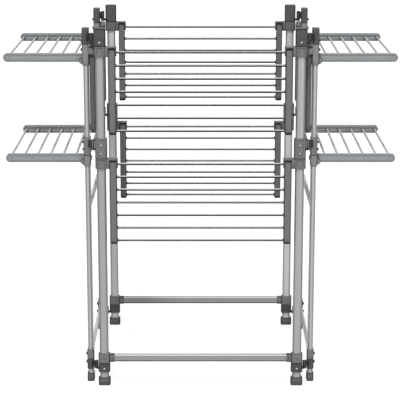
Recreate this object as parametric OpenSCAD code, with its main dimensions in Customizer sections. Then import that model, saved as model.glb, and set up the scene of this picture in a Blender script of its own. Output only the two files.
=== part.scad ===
/* [Overall] */
// Height over the top connectors
rack_h = 1060; // [980:1:1200]
// Front and rear frames: distance between their two post centres
frame_w = 567; // [460:1:700]
// Distance from the front posts' centres to the rear posts' centres
frame_d = 570; // [520:1:700]

/* [Tubes] */
// Long side of the flat-oval post tube
post_w = 26; // [22:0.5:30]
// Short side of the post tube in the front and rear frames
post_t = 15; // [12:0.5:18]
// Short side of the post tube in the side frames
side_post_t = 16; // [12:0.5:18]
// Wall of every tube
tube_wall = 0.8; // [0.6:0.1:2]
// Height of the flat-oval crossbar tube
bar_h = 24; // [18:0.5:26]
// Thickness of the crossbar tube
bar_t = 9; // [7:0.5:10]
// Height of the bottom crossbars' middle over the floor
bar_z = 83.75; // [80:0.25:120]
// Height of the side frames' middle crossbar over the floor
mid_bar_z = 527; // [200:1:560]

/* [Flaps] */
// Rods in each flap
rod_count = 7; // [4:1:7]
// Diameter of a rod
rod_d = 7; // [5:0.5:8]
// Distance from one rod to the next
rod_pitch = 37.5; // [24:0.5:38]
// How far a rod end sits in its rail
rod_seat = 8; // [4:0.5:12]
// Width of a rail, measured along the rods
rail_w = 19; // [15:0.5:22]
// Thickness of a rail
rail_t = 24; // [18:0.5:26]
// Thickness of the inner flaps' slimmer rails
inner_rail_t = 16; // [12:0.5:18]
// Upper flaps' axle, below the top of the rack
axle_drop = 71; // [66:0.5:90]
// Upper axle to lower axle of the front and rear flaps
tier_drop = 321.5; // [300:0.5:340]
// Upper wings' pivot, below the top of the rack
wing_drop = 101.6; // [95:0.1:110]
// Lower wings' pivot, below the side frames' middle connectors
wing_under = 21.4; // [18:0.1:30]
// Wing pivot to the inner end of the wing's rail
pivot_in = 23; // [20:0.5:26]
// Wing pivot to the rail's middle line
pivot_below = 7; // [4:0.5:8]

/* [Connectors] */
// Side wall of the connectors on the front and rear posts
wall_x = 3.8; // [3:0.1:5]
// Front and back walls of those connectors
wall_y = 5; // [3.5:0.1:6]
// Inner wall of the connectors on the side posts
side_wall_in = 1.2; // [1:0.1:2]
// Outer wall of the connectors on the side posts
side_wall_out = 2.5; // [2:0.1:4]
// Front and back walls of the connectors on the side posts
side_wall_y = 2; // [1.5:0.1:3]
// Height of the middle connectors
mid_conn_h = 58; // [56:0.5:70]
// Height of the bottom connectors
low_conn_h = 27; // [25:0.5:28]
// Wall of the tee above and below the crossbar
tee_wall = 2.25; // [2:0.25:4]
// Length of the tee's socket
socket_l = 13.5; // [10:0.5:18]
// Gap from the post sleeve to the front flap's rail
flap_gap = 7.4; // [6:0.1:10]
// Thickness of the bracket cheek inside the rail
cheek_t = 3; // [2:0.1:4]
// Thickness of the bracket roof over the rail end
roof_t = 5; // [3:0.1:6]

/* [Corner hinges] */
// Diameter of the hinge pin
pin_d = 6; // [4:0.5:7]
// Wall around the hinge pin
barrel_wall = 2.5; // [2:0.1:3]
// Hinge axis, out from the front connector's side face
hinge_out = 8; // [7:0.1:10]
// Hinge axis, in from the front connector's back face
hinge_in = 7.5; // [7:0.1:10]
// Thickness of the lug that carries the pin
lug_t = 6.5; // [5:0.1:8]
// Height of the upper and middle barrels
barrel_h = 24; // [18:0.5:28]

/* [Feet and rivets] */
// Height of the feet of the front and rear posts
foot_h = 24; // [18:0.5:30]
// Height of the feet of the side posts
side_foot_h = 26; // [18:0.5:30]
// Thickness of a foot's sole
sole_t = 4; // [3:0.5:8]
// Wall of a foot around its post
foot_wall = 4.5; // [3:0.1:5]
// Diameter of a rivet's shank
rivet_d = 4; // [3:0.1:5]
// Diameter of a rivet's head
rivet_head_d = 8; // [6:0.1:9]

/* [Hidden] */
$fn = 64;

tube_color = "silver";
dark_color = [0.27, 0.28, 0.28];
grey_color = [0.38, 0.39, 0.39];
foot_color = [0.16, 0.16, 0.17];

seat_fit = 0.05;     // a tube, rod or pin in the socket that holds it
run_fit = 0.06;      // a pin or axle in the bore that turns on it
swing_gap = 0.4;     // flat faces that pass each other
face_gap = 0.3;      // hinge barrel over its lug
stack_gap = 0.5;     // one sleeve over the next on a post
corner_r = 4;        // vertical corners of the front and rear connectors
side_corner_r = 3;   // vertical corners of the side connectors
cap_t = 8;           // solid top of a top connector
side_cap_t = 6;
side_top_drop = 6.6; // side frames end this much below the front frame

post_x = frame_w / 2;
post_y = -frame_d / 2;
conn_w = post_w + 2 * wall_x;
conn_t = post_t + 2 * wall_y;
conn_in = post_x - conn_w / 2;

// front and rear flaps hang between the sleeves
end_rail_out = conn_in - flap_gap;
end_rail_in = end_rail_out - rail_w;
axle_up = rack_h - axle_drop;
axle_low = axle_up - tier_drop;
axle_reach = 5;
rod_run = (rod_count - 1) * rod_pitch;

bracket_below = 12;
bracket_h = bracket_below + rail_t / 2 + roof_t;
top_z = axle_up - bracket_below + bracket_h + stack_gap;
top_conn_h = rack_h - top_z;
mid_z = axle_low - bracket_below + bracket_h + stack_gap;
tee_h = bar_h + 2 * tee_wall;
tee_z = bar_z - tee_h / 2;
low_conn_z = tee_z - stack_gap - low_conn_h;

// corner hinges, placed from the front connector's corner
hinge_x = post_x + conn_w / 2 + hinge_out;
hinge_y = post_y + conn_t / 2 + hinge_in;
barrel_r = pin_d / 2 + barrel_wall;
lug_r = barrel_r + 0.5;
top_lug_z = top_z + 4.5;
mid_lug_z = mid_z + 20;
low_lug_z = low_conn_z + 2;
low_barrel_h = low_conn_h - 2 - lug_t - face_gap - 0.2;

// side frames, placed from the hinge
side_in = hinge_x + barrel_r + 2.4;
side_x = side_in + side_wall_in + side_post_t / 2;
side_conn_w = side_post_t + side_wall_in + side_wall_out;
side_conn_d = post_w + 2 * side_wall_y;
side_post_y = hinge_y + 5 + side_conn_d / 2;
side_h = rack_h - side_top_drop;
side_top_z = top_lug_z - 3.5;
side_mid_z = mid_z + 2;
side_mid_h = mid_conn_h - 5;
side_low_z = low_conn_z - 3;

// wings swing on pins just outside the side posts
wing_pivot_x = side_x + side_post_t / 2 + pin_d / 2 + 1.1;
wing_up = rack_h - wing_drop;
wing_low = side_mid_z - wing_under;
wing_rail_out = -side_post_y - side_conn_d / 2 - 1;
wing_rail_in = wing_rail_out - rail_w;
wing_rod_x = wing_pivot_x - pivot_in + rail_t / 2;
wing_bracket_below = 10.4;
boss_r = 9;
boss_l = 14;
stop_t = 5;
stop_l = 11;

// inner flaps hang inside the side posts, on ears of the same brackets
ear_t = 6;
inner_rail_out = -side_post_y + side_conn_d / 2 - ear_t - swing_gap;
inner_rail_in = inner_rail_out - rail_w;
inner_x = side_in - swing_gap - inner_rail_t / 2;
ear_below = 10;
ear_top = inner_rail_t / 2 + 0.8;
ear_roof_t = 4;

socket_wall_z = tee_wall - 0.75;
socket_wall_t = 3;
rivet_head_h = 1.8;
rivet_tail = 1.5;
foot_corner_r = 5;

// ---------- outlines ----------

module oval(w, t) {
    square([w - t, t], center = true);
    for (s = [-1, 1]) translate([s * (w - t) / 2, 0]) circle(d = t);
}

module rounded(w, t, r) {
    square([w - 2 * r, t], center = true);
    square([w, t - 2 * r], center = true);
    for (a = [-1, 1], b = [-1, 1]) translate([a * (w / 2 - r), b * (t / 2 - r)]) circle(r);
}

// a strip with round ends, from p to q
module strip(p, q, t) {
    translate(p) rotate(atan2(q.y - p.y, q.x - p.x)) {
        translate([0, -t / 2]) square([norm(q - p), t]);
        circle(d = t);
        translate([norm(q - p), 0]) circle(d = t);
    }
}

// ---------- pieces that repeat ----------

module to_rear() { mirror([0, 1, 0]) children(); }
module to_left() { mirror([1, 0, 0]) children(); }
module both_posts() { for (s = [0, 1]) mirror([s, 0, 0]) children(); }
module both_ends() { for (s = [0, 1]) mirror([0, s, 0]) children(); }

module hollow_tube(w, t, length) {
    linear_extrude(length) difference() {
        oval(w, t);
        oval(w - 2 * tube_wall, t - 2 * tube_wall);
    }
}

module rivet(grip) {
    intersection() {
        cylinder(d = rivet_head_d, h = rivet_head_h);
        translate([0, 0, rivet_head_h - 8]) sphere(8);
    }
    translate([0, 0, -grip - rivet_tail]) cylinder(d = rivet_d, h = grip + rivet_tail + 0.5);
}

module rivet_hole(grip) {
    translate([0, 0, -grip]) cylinder(d = rivet_d + 2 * seat_fit, h = grip + 1);
}

module front_face(z) { translate([post_x, post_y - conn_t / 2, z]) rotate([90, 0, 0]) children(); }
module side_face(z) { translate([side_in + side_conn_w, side_post_y, z]) rotate([0, 90, 0]) children(); }

front_grip = wall_y + tube_wall;
side_grip = side_wall_out + tube_wall;
front_rivets = [top_z + 11.5, mid_z + 15, mid_z + 39, low_conn_z + 10.6];
side_rivets = [side_top_z + 10.5, side_top_z - 16, mid_z + 18, mid_z + 39, low_conn_z + 16, tee_z + tee_h / 2];

// ---------- front and rear frames (drawn as the front one) ----------

module end_post() {
    color(tube_color) difference() {
        translate([post_x, post_y, sole_t]) hollow_tube(post_w, post_t, rack_h - cap_t - sole_t);
        for (z = front_rivets) front_face(z) rivet_hole(front_grip + 1);
    }
}

module end_crossbar() {
    color(tube_color) translate([-conn_in, post_y, bar_z])
        rotate([0, 90, 0]) hollow_tube(bar_h, bar_t, 2 * conn_in);
}

module end_sleeve(z, h) {
    translate([post_x, post_y, z]) linear_extrude(h) rounded(conn_w, conn_t, corner_r);
}

module end_bore(z, h) {
    translate([post_x, post_y, z]) linear_extrude(h) oval(post_w + 2 * seat_fit, post_t + 2 * seat_fit);
}

module hinge_lug(z) {
    translate([0, 0, z]) linear_extrude(lug_t) {
        translate([hinge_x, hinge_y]) circle(lug_r);
        strip([hinge_x, hinge_y], [hinge_x - hinge_out - 4, hinge_y - hinge_in - 4], 1.6 * barrel_r);
    }
}

module end_connector(z, h, lug_z, bore_h) {
    color(dark_color) both_posts() difference() {
        union() {
            end_sleeve(z, h);
            hinge_lug(lug_z);
        }
        end_bore(z - 1, bore_h + 1);
        translate([hinge_x, hinge_y, lug_z - 1]) cylinder(d = pin_d + 2 * seat_fit, h = lug_t + 2);
        for (r = front_rivets) if (r > z && r < z + h) front_face(r) rivet_hole(front_grip);
    }
}

module end_top_connectors() { end_connector(top_z, top_conn_h, top_lug_z, top_conn_h - cap_t); }
module end_mid_connectors() { end_connector(mid_z, mid_conn_h, mid_lug_z, mid_conn_h + 1); }
module end_bottom_connectors() { end_connector(low_conn_z, low_conn_h, low_lug_z, low_conn_h + 1); }

module end_tees() {
    color(grey_color) both_posts() difference() {
        union() {
            end_sleeve(tee_z, tee_h);
            translate([conn_in - socket_l, post_y, bar_z]) rotate([0, 90, 0])
                linear_extrude(socket_l + 2)
                    oval(bar_h + 2 * socket_wall_z, bar_t + 2 * socket_wall_t);
        }
        end_bore(tee_z - 1, tee_h + 2);
        translate([conn_in - socket_l - 1, post_y, bar_z]) rotate([0, 90, 0])
            linear_extrude(socket_l + 1) oval(bar_h + 2 * seat_fit, bar_t + 2 * seat_fit);
    }
}

// sleeve, arm, roof and inner cheek around one end of a flap's axle
module end_flap_bracket(axle_z) {
    z0 = axle_z - bracket_below;
    cheek_in = end_rail_in - swing_gap - cheek_t;
    arm_in = end_rail_out + swing_gap;
    roof_z = axle_z + rail_t / 2 + swing_gap;
    top = z0 + bracket_h;
    depth = conn_t - 2;
    difference() {
        union() {
            end_sleeve(z0, bracket_h);
            translate([arm_in, post_y - depth / 2, z0]) cube([conn_in - arm_in + 2, depth, bracket_h]);
            translate([cheek_in, post_y - depth / 2, roof_z]) cube([arm_in - cheek_in + 1, depth, top - roof_z]);
            translate([cheek_in, post_y - depth / 2, axle_z]) cube([cheek_t, depth, top - axle_z]);
            translate([cheek_in, post_y, axle_z]) rotate([0, 90, 0]) cylinder(d = depth, h = cheek_t);
        }
        end_bore(z0 - 1, bracket_h + 2);
        translate([cheek_in - 1, post_y, axle_z]) rotate([0, 90, 0])
            cylinder(d = rod_d + 2 * run_fit, h = end_rail_out + axle_reach + 0.2 - cheek_in + 1);
    }
}

module end_flap_brackets() {
    color(grey_color) both_posts() for (z = [axle_up, axle_low]) end_flap_bracket(z);
}

module end_feet() {
    color(foot_color) both_posts() difference() {
        translate([post_x, post_y, 0]) linear_extrude(foot_h)
            rounded(post_w + 2 * foot_wall, post_t + 2 * foot_wall, foot_corner_r);
        end_bore(sole_t, foot_h);
    }
}

module hinge_pin(lug_z, h) {
    translate([hinge_x, hinge_y, lug_z]) cylinder(d = pin_d, h = lug_t + face_gap + h - 4);
}

module end_fasteners() {
    color(tube_color) both_posts() {
        for (z = front_rivets) front_face(z) rivet(front_grip);
        hinge_pin(top_lug_z, barrel_h);
        hinge_pin(mid_lug_z, barrel_h);
        hinge_pin(low_lug_z, low_barrel_h);
    }
}

// ---------- side frames (drawn as the right one) ----------

module side_post() {
    color(tube_color) difference() {
        translate([side_x, side_post_y, sole_t]) rotate(90)
            hollow_tube(post_w, side_post_t, side_h - side_cap_t - sole_t);
        for (z = side_rivets) side_face(z) rivet_hole(side_grip + 1);
    }
}

module side_bar(z, half_length) {
    translate([side_x, half_length, z]) rotate([90, 0, 0]) rotate(90)
        hollow_tube(bar_h, bar_t, 2 * half_length);
}

module side_crossbars() {
    socket_y = -side_post_y - side_conn_d / 2;
    color(tube_color) {
        side_bar(bar_z, socket_y);
        difference() {
            side_bar(mid_bar_z, -side_post_y);
            both_ends() translate([side_x, side_post_y, mid_bar_z - bar_h]) rotate(90)
                linear_extrude(2 * bar_h) oval(post_w + 2 * seat_fit, side_post_t + 2 * seat_fit);
        }
    }
}

module side_sleeve(z, h) {
    translate([side_in + side_conn_w / 2, side_post_y, z]) linear_extrude(h)
        rounded(side_conn_w, side_conn_d, side_corner_r);
}

module side_bore(z, h) {
    translate([side_x, side_post_y, z]) rotate(90) linear_extrude(h)
        oval(post_w + 2 * seat_fit, side_post_t + 2 * seat_fit);
}

// knuckle that drops over the hinge pin and turns on it
module hinge_barrel(lug_z, h) {
    z0 = lug_z + lug_t + face_gap;
    translate([hinge_x, hinge_y, z0]) cylinder(r = barrel_r, h = h);
    translate([0, 0, z0]) linear_extrude(h)
        strip([hinge_x, hinge_y], [side_in + 3, hinge_y + 6], 1.6 * barrel_r);
}

module side_connector(z, h, lug_z, knuckle_h, bore_h) {
    color(dark_color) both_ends() difference() {
        union() {
            side_sleeve(z, h);
            hinge_barrel(lug_z, knuckle_h);
        }
        side_bore(z - 1, bore_h + 1);
        translate([hinge_x, hinge_y, lug_z]) cylinder(d = pin_d + 2 * run_fit, h = lug_t + face_gap + knuckle_h - 3);
        for (r = side_rivets) if (r > z && r < z + h) side_face(r) rivet_hole(side_grip);
    }
}

module side_top_connectors() {
    h = side_h - side_top_z;
    side_connector(side_top_z, h, top_lug_z, barrel_h, h - side_cap_t);
}
module side_mid_connectors() { side_connector(side_mid_z, side_mid_h, mid_lug_z, barrel_h, side_mid_h + 1); }
module side_bottom_connectors() {
    h = tee_z - stack_gap - side_low_z;
    side_connector(side_low_z, h, low_lug_z, low_barrel_h, h + 1);
}

module side_tees() {
    y0 = side_post_y + side_conn_d / 2;
    color(grey_color) both_ends() difference() {
        union() {
            side_sleeve(tee_z, tee_h);
            translate([side_x, y0 + socket_l, bar_z]) rotate([90, 0, 0]) rotate(90)
                linear_extrude(socket_l + 1.5) oval(bar_h + 2 * socket_wall_z, bar_t + 2 * socket_wall_z + 3);
        }
        side_bore(tee_z - 1, tee_h + 2);
        translate([side_x, y0 + socket_l + 1, bar_z]) rotate([90, 0, 0]) rotate(90)
            linear_extrude(socket_l + 1) oval(bar_h + 2 * seat_fit, bar_t + 2 * seat_fit);
        for (r = side_rivets) if (r > tee_z && r < tee_z + tee_h) side_face(r) rivet_hole(side_grip);
    }
}

// boss for the wing's pin and the stop under the raised wing's inner end
module wing_boss(pivot_z) {
    face = side_post_y + side_conn_d / 2;
    translate([wing_pivot_x, face, pivot_z]) rotate([90, 0, 0]) cylinder(r = boss_r, h = boss_l);
    translate([side_x, face - boss_l, pivot_z - boss_r]) cube([wing_pivot_x - side_x, boss_l, 2 * boss_r]);
    translate([side_x - 5, face - 2, pivot_z + pivot_below - rail_t / 2 - swing_gap - stop_t])
        cube([stop_l, stop_l + 2, stop_t]);
}

module wing_pin_hole(pivot_z) {
    translate([wing_pivot_x, side_post_y + side_conn_d / 2 + 1, pivot_z]) rotate([90, 0, 0])
        cylinder(d = pin_d + 2 * seat_fit, h = boss_l);
}

// ear and roof around one end of the inner flap's axle
module inner_ear() {
    y0 = -inner_rail_out - swing_gap - ear_t;
    x0 = inner_x - inner_rail_t / 2;
    roof_z = axle_up + ear_top;
    translate([x0, y0, axle_up - ear_below])
        cube([side_in - x0 + 2, ear_t, ear_below + ear_top + ear_roof_t]);
    translate([x0, y0, roof_z]) cube([side_in - x0 + 2, inner_rail_out - inner_rail_in + ear_t, ear_roof_t]);
}

module side_brackets() {
    upper_z = wing_up - wing_bracket_below;
    upper_h = side_top_z - stack_gap - upper_z;
    lower_z = wing_low - wing_bracket_below;
    lower_h = side_mid_z - stack_gap - lower_z;
    color(grey_color) both_ends() {
        difference() {
            union() {
                side_sleeve(upper_z, upper_h);
                wing_boss(wing_up);
                inner_ear();
            }
            side_bore(upper_z - 1, upper_h + 2);
            wing_pin_hole(wing_up);
            translate([inner_x, -inner_rail_out, axle_up]) rotate([90, 0, 0])
                cylinder(d = rod_d + 2 * run_fit, h = ear_t + 2);
            for (r = side_rivets) if (r > upper_z && r < upper_z + upper_h) side_face(r) rivet_hole(side_grip);
        }
        difference() {
            union() {
                side_sleeve(lower_z, lower_h);
                wing_boss(wing_low);
            }
            side_bore(lower_z - 1, lower_h + 2);
            wing_pin_hole(wing_low);
        }
    }
}

module side_feet() {
    color(foot_color) both_ends() difference() {
        translate([side_in + side_conn_w / 2, side_post_y, 0]) linear_extrude(side_foot_h)
            rounded(side_conn_w + 1, side_conn_d + 1, foot_corner_r);
        side_bore(sole_t, side_foot_h);
    }
}

module side_fasteners() {
    pin_l = rail_w + 1 + boss_l - 1;
    color(tube_color) both_ends() {
        for (z = side_rivets) side_face(z) rivet(side_grip);
        for (z = [wing_up, wing_low])
            translate([wing_pivot_x, -wing_rail_in, z]) rotate([90, 0, 0]) cylinder(d = pin_d, h = pin_l);
    }
}

// ---------- flaps and wings ----------

// hanging flap of the front frame: rods along X, first rod is the axle
module end_flap_rails(z) {
    color(grey_color) both_posts() difference() {
        translate([end_rail_in, post_y, z]) rotate([0, 90, 0])
            linear_extrude(rail_w) strip([0, 0], [rod_run, 0], rail_t);
        for (i = [0 : rod_count - 1])
            translate([end_rail_in - 1, post_y, z - i * rod_pitch]) rotate([0, 90, 0])
                cylinder(d = rod_d + 2 * seat_fit, h = i == 0 ? rail_w + 2 : rod_seat + 1);
    }
}

module end_flap_rods(z) {
    color(tube_color) for (i = [0 : rod_count - 1]) {
        half = i == 0 ? end_rail_out + axle_reach : end_rail_in + rod_seat;
        translate([-half, post_y, z - i * rod_pitch]) rotate([0, 90, 0]) cylinder(d = rod_d, h = 2 * half);
    }
}

// raised wing of the right side: rods along Y, pivot near the inner end
module wing_rails(z) {
    color(grey_color) both_ends() difference() {
        translate([wing_rod_x, -wing_rail_in, z + pivot_below]) rotate([90, 0, 0])
            linear_extrude(rail_w) strip([0, 0], [rod_run, 0], rail_t);
        for (i = [0 : rod_count - 1])
            translate([wing_rod_x + i * rod_pitch, -wing_rail_in + 1, z + pivot_below]) rotate([90, 0, 0])
                cylinder(d = rod_d + 2 * seat_fit, h = rod_seat + 1);
        translate([wing_pivot_x, -wing_rail_in + 1, z]) rotate([90, 0, 0])
            cylinder(d = pin_d + 2 * run_fit, h = rail_w + 2);
    }
}

module wing_rods(z) {
    half = wing_rail_in + rod_seat;
    color(tube_color) for (i = [0 : rod_count - 1])
        translate([wing_rod_x + i * rod_pitch, half, z + pivot_below]) rotate([90, 0, 0])
            cylinder(d = rod_d, h = 2 * half);
}

// hanging flap inside the right side frame: rods along Y, first rod is the axle
module inner_flap_rails() {
    color(grey_color) both_ends() difference() {
        translate([inner_x, -inner_rail_in, axle_up]) rotate([90, 0, 0])
            linear_extrude(rail_w) strip([0, 0], [0, -rod_run], inner_rail_t);
        for (i = [0 : rod_count - 1])
            translate([inner_x, -inner_rail_in + 1, axle_up - i * rod_pitch]) rotate([90, 0, 0])
                cylinder(d = rod_d + 2 * seat_fit, h = i == 0 ? rail_w + 2 : rod_seat + 1);
    }
}

module inner_flap_rods() {
    color(tube_color) for (i = [0 : rod_count - 1]) {
        half = i == 0 ? inner_rail_out + axle_reach : inner_rail_in + rod_seat;
        translate([inner_x, half, axle_up - i * rod_pitch]) rotate([90, 0, 0]) cylinder(d = rod_d, h = 2 * half);
    }
}

// ---------- nodes ----------

to_left() end_post();  // front_left_post
end_post();  // front_right_post
end_crossbar();  // front_crossbar
end_top_connectors();  // front_top_connectors
end_mid_connectors();  // front_mid_connectors
end_bottom_connectors();  // front_bottom_connectors
end_tees();  // front_crossbar_tees
end_flap_brackets();  // front_flap_brackets
end_feet();  // front_feet
end_fasteners();  // front_fasteners

to_rear() to_left() end_post();  // rear_left_post
to_rear() end_post();  // rear_right_post
to_rear() end_crossbar();  // rear_crossbar
to_rear() end_top_connectors();  // rear_top_connectors
to_rear() end_mid_connectors();  // rear_mid_connectors
to_rear() end_bottom_connectors();  // rear_bottom_connectors
to_rear() end_tees();  // rear_crossbar_tees
to_rear() end_flap_brackets();  // rear_flap_brackets
to_rear() end_feet();  // rear_feet
to_rear() end_fasteners();  // rear_fasteners

to_left() side_post();  // left_front_post
to_left() to_rear() side_post();  // left_rear_post
to_left() side_crossbars();  // left_crossbars
to_left() side_top_connectors();  // left_top_connectors
to_left() side_mid_connectors();  // left_mid_connectors
to_left() side_bottom_connectors();  // left_bottom_connectors
to_left() side_tees();  // left_crossbar_tees
to_left() side_brackets();  // left_wing_brackets
to_left() side_feet();  // left_feet
to_left() side_fasteners();  // left_fasteners

side_post();  // right_front_post
to_rear() side_post();  // right_rear_post
side_crossbars();  // right_crossbars
side_top_connectors();  // right_top_connectors
side_mid_connectors();  // right_mid_connectors
side_bottom_connectors();  // right_bottom_connectors
side_tees();  // right_crossbar_tees
side_brackets();  // right_wing_brackets
side_feet();  // right_feet
side_fasteners();  // right_fasteners

end_flap_rails(axle_up);  // front_upper_flap_rails
end_flap_rods(axle_up);  // front_upper_flap_rods
end_flap_rails(axle_low);  // front_lower_flap_rails
end_flap_rods(axle_low);  // front_lower_flap_rods
to_rear() end_flap_rails(axle_up);  // rear_upper_flap_rails
to_rear() end_flap_rods(axle_up);  // rear_upper_flap_rods
to_rear() end_flap_rails(axle_low);  // rear_lower_flap_rails
to_rear() end_flap_rods(axle_low);  // rear_lower_flap_rods

to_left() wing_rails(wing_up);  // left_upper_wing_rails
to_left() wing_rods(wing_up);  // left_upper_wing_rods
to_left() wing_rails(wing_low);  // left_lower_wing_rails
to_left() wing_rods(wing_low);  // left_lower_wing_rods
wing_rails(wing_up);  // right_upper_wing_rails
wing_rods(wing_up);  // right_upper_wing_rods
wing_rails(wing_low);  // right_lower_wing_rails
wing_rods(wing_low);  // right_lower_wing_rods

to_left() inner_flap_rails();  // left_inner_flap_rails
to_left() inner_flap_rods();  // left_inner_flap_rods
inner_flap_rails();  // right_inner_flap_rails
inner_flap_rods();  // right_inner_flap_rods
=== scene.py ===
import math

import bmesh
import bpy
import numpy as np
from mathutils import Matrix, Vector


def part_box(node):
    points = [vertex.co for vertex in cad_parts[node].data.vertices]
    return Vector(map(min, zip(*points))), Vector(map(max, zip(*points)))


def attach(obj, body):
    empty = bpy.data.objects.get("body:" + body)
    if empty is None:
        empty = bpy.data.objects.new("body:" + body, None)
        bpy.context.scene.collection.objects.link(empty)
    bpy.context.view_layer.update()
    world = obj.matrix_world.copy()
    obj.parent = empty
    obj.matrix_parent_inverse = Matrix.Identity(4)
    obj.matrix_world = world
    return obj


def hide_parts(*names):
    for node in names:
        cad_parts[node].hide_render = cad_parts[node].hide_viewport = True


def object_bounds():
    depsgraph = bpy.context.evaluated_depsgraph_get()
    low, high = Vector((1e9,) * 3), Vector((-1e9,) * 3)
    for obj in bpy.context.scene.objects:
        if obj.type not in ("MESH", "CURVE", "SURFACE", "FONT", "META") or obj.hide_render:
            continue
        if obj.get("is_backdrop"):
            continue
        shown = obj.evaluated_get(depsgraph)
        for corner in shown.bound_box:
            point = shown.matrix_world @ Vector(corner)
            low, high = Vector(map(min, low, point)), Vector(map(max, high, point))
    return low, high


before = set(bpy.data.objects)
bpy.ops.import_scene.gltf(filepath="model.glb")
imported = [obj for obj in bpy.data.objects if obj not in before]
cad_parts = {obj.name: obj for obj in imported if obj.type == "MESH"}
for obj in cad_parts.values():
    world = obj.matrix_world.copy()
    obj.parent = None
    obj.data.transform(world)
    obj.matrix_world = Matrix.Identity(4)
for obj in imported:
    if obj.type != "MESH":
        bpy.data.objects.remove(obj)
cadLow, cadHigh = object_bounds()
scene = bpy.context.scene
mm = 0.001  # every measure below is in millimetres


def boxOf(node):
    low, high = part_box(node)
    return np.array(low) / mm, np.array(high) / mm


def uprightOf(node):
    low, high = boxOf(node)
    return low[2], high[2]


# Camera: level with the eye of someone standing before the rack, looking slightly down.
view = {"back": 4588, "height": 1606, "down": 13.64, "side": 1.5, "lens": 138.5, "sensor": 36, "reach": 100}

cameraData = bpy.data.cameras.new("camera")
cameraData.lens = view["lens"]
cameraData.sensor_width = view["sensor"]
cameraData.clip_end = view["reach"]
camera = bpy.data.objects.new("camera", cameraData)
camera.location = (-view["side"] * mm, -view["back"] * mm, view["height"] * mm)
camera.rotation_euler = (math.radians(90 - view["down"]), 0, 0)
scene.collection.objects.link(camera)
scene.camera = camera
print("camera set")


# The driving measures, read from the frame: one front corner stands for the four.
post, sidePost = boxOf("front_right_post"), boxOf("right_front_post")
teeLow, teeHigh = boxOf("front_crossbar_tees")
sideTeeLow, sideTeeHigh = boxOf("right_crossbar_tees")
pinHigh = boxOf("front_fasteners")[1]
rack = {"sideIn": sideTeeLow[0], "sideOut": sideTeeHigh[0], "sleeveT": teeHigh[1] - teeLow[1], "pinR": 3}
for kind, (low, high) in (("post", post), ("side", sidePost)):
    rack[kind + "X"], rack[kind + "Y"] = ((low + high) / 2)[:2]
    rack[kind + "W"], rack[kind + "T"] = (high - low)[:2]
rack["sleeveW"] = 2 * (teeHigh[0] - rack["postX"])
rack["sideSleeveT"] = 2 * (rack["sideY"] - sideTeeLow[1])
rack["hingeX"], rack["hingeY"] = pinHigh[:2] - rack["pinR"]
sleeveIn = rack["postX"] - rack["sleeveW"] / 2  # inner face of a front sleeve
sideFront = rack["sideY"] - rack["sideSleeveT"] / 2  # front face of a side sleeve


# Key points round a rounded rectangle. A key from 0 to 8 walks the outline: even stretches are
# straight sides, odd ones are corners. Each key gives the corner it leans on and its direction.
def outlineKeys(keys):
    stretch = np.floor(keys).astype(int)
    part = keys - stretch
    k, bend = stretch // 2, stretch % 2
    signX = np.array([-1, 1, 1, -1, -1])
    signY = np.array([-1, -1, 1, 1, -1])
    move = np.where(bend == 1, 1.0, part)
    sx = signX[k] + (signX[k + 1] - signX[k]) * move
    sy = signY[k] + (signY[k + 1] - signY[k]) * move
    angle = math.pi / 2 * (k - 1 + bend * part)
    return sx, sy, np.cos(angle), np.sin(angle)


def roundKeys(steps=6):
    bends = [k + np.arange(steps) / steps for k in (1, 3, 5, 7)]
    return np.concatenate(bends)


def boxyKeys(corner=5, across=2, marks=()):
    # marks are further keys, such as the edges of a pocket
    sides = [k + np.arange(across) / across for k in (0, 2, 4, 6)]
    bends = [k + np.arange(corner) / corner for k in (1, 3, 5, 7)]
    return np.unique(np.round(np.concatenate(sides + bends + [np.array(marks, float)]), 6))


# A loft: each row is (z, w, t, r), a rounded rectangle of width w, depth t and corner radius r at
# height z. A pocket pushes the wall in along its normal by its depth times four ramps, which go from
# 0 to 1 at its left, right, lower and upper edge.
def loft(rows, keys, centre=(0, 0), turn=0, loop=False, pockets=()):
    rows = np.array(rows, float)
    z, w, t, r = (rows[:, i : i + 1] for i in range(4))
    r = np.minimum(r, np.minimum(w, t) / 2)
    sx, sy, nx, ny = outlineKeys(keys)
    x = sx * (w / 2 - r) + nx * r
    y = sy * (t / 2 - r) + ny * r
    for p in pockets:
        side = np.array(p["face"])
        facing = nx * side[0] + ny * side[1] > 0.999
        along = x * abs(side[1]) + y * abs(side[0])
        ramp = p["ramp"]
        left = np.clip((along - p["left"]) / ramp, 0, 1)
        right = np.clip((p["right"] - along) / ramp, 0, 1)
        low = np.clip((z - p["low"]) / ramp, 0, 1)
        high = np.clip((p["high"] - z) / ramp, 0, 1)
        push = p["depth"] * left * right * low * high * facing
        x, y = x - nx * push, y - ny * push
    c, s = math.cos(turn), math.sin(turn)
    points = np.stack([centre[0] + x * c - y * s, centre[1] + x * s + y * c, z + 0 * x], -1)
    return gridShell(points, loop)


# Quads between the rows of a grid whose columns run all the way round.
def gridShell(points, loop=False):
    rows, cols = points.shape[:2]
    i = np.arange(rows if loop else rows - 1)[:, None]
    j = np.arange(cols)[None, :]
    nextI, nextJ = (i + 1) % rows, (j + 1) % cols
    corners = np.broadcast_arrays(i * cols + j, i * cols + nextJ, nextI * cols + nextJ, nextI * cols + j)
    return points.reshape(-1, 3), np.stack(corners, -1).reshape(-1, 4)


# Wall rows from z0 to z1 with a quarter-round edge at both ends: height and inset follow a circle.
def wallRows(z0, z1, w, t, r, edge, marks=(), steps=4):
    a = np.linspace(0, math.pi / 2, steps + 1)
    rise, inset = edge * (1 - np.cos(a)), edge * (1 - np.sin(a))
    body = np.array([m for m in sorted(marks) if z0 + edge < m < z1 - edge])
    heights = np.concatenate([z0 + rise, body, z1 - rise[::-1]])
    insets = np.concatenate([inset, 0 * body, inset[::-1]])
    return [(h, w - 2 * i, t - 2 * i, max(r - i, 0.3)) for h, i in zip(heights, insets)]


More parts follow.
